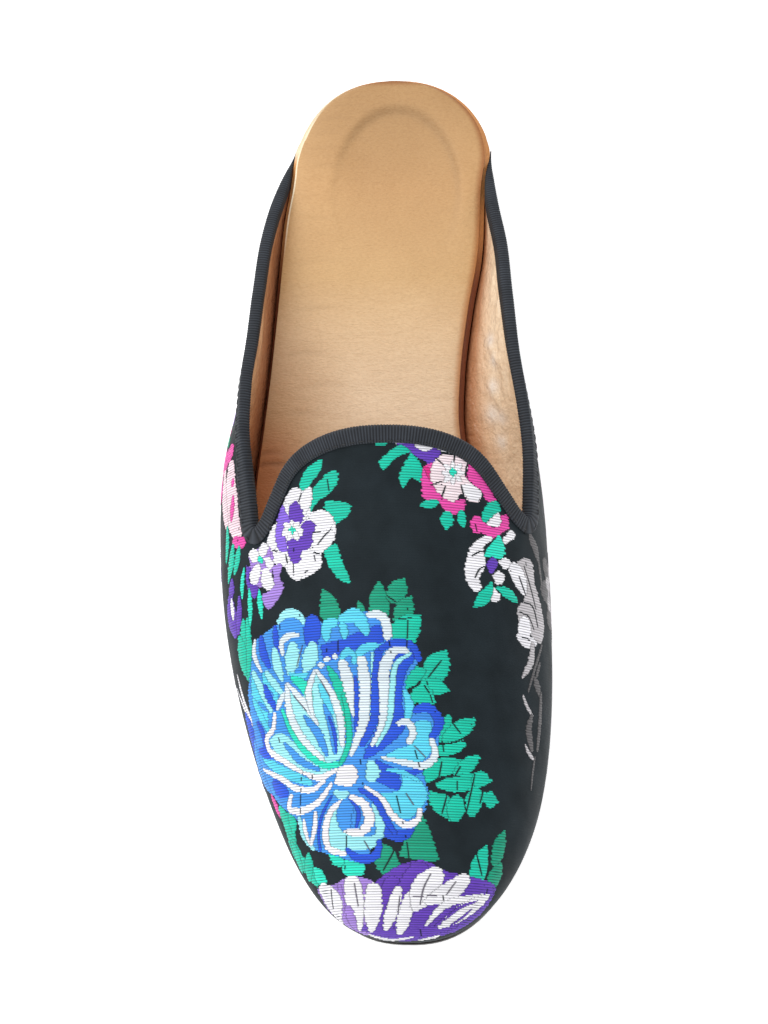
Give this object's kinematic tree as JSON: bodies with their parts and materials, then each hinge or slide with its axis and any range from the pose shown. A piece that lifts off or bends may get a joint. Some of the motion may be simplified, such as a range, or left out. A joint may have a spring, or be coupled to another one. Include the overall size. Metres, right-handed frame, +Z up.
{
  "type": "backless brocade slipper",
  "caption": "Backless slipper for the right foot with a hollow brocade upper, bound topline, padded leather sock, thin sole and low heel.",
  "frame": {"origin": "on the floor, under the centre of the shoe's bounding box", "axes": "+X towards the inner side of the foot, +Y towards the heel, +Z up"},
  "size_m": [0.0923, 0.25, 0.0668],
  "materials": {
    "sole_leather": "black finished sole leather",
    "heel_leather": "black stacked leather with a polished edge",
    "brocade": "black satin ground with floral brocade in blue, green, white, violet and pink silk",
    "grosgrain": "black ribbed grosgrain ribbon",
    "edge_leather": "smooth orange-brown leather",
    "sock_leather": "soft tan leather, semi-matt, slightly worn"
  },
  "bodies": {
    "root": {"outsole": "sole_leather", "heel": "heel_leather", "upper": "brocade", "topline_binding": "grosgrain", "insole_board": "edge_leather", "sock": "sock_leather"}
  },
  "joints": []
}
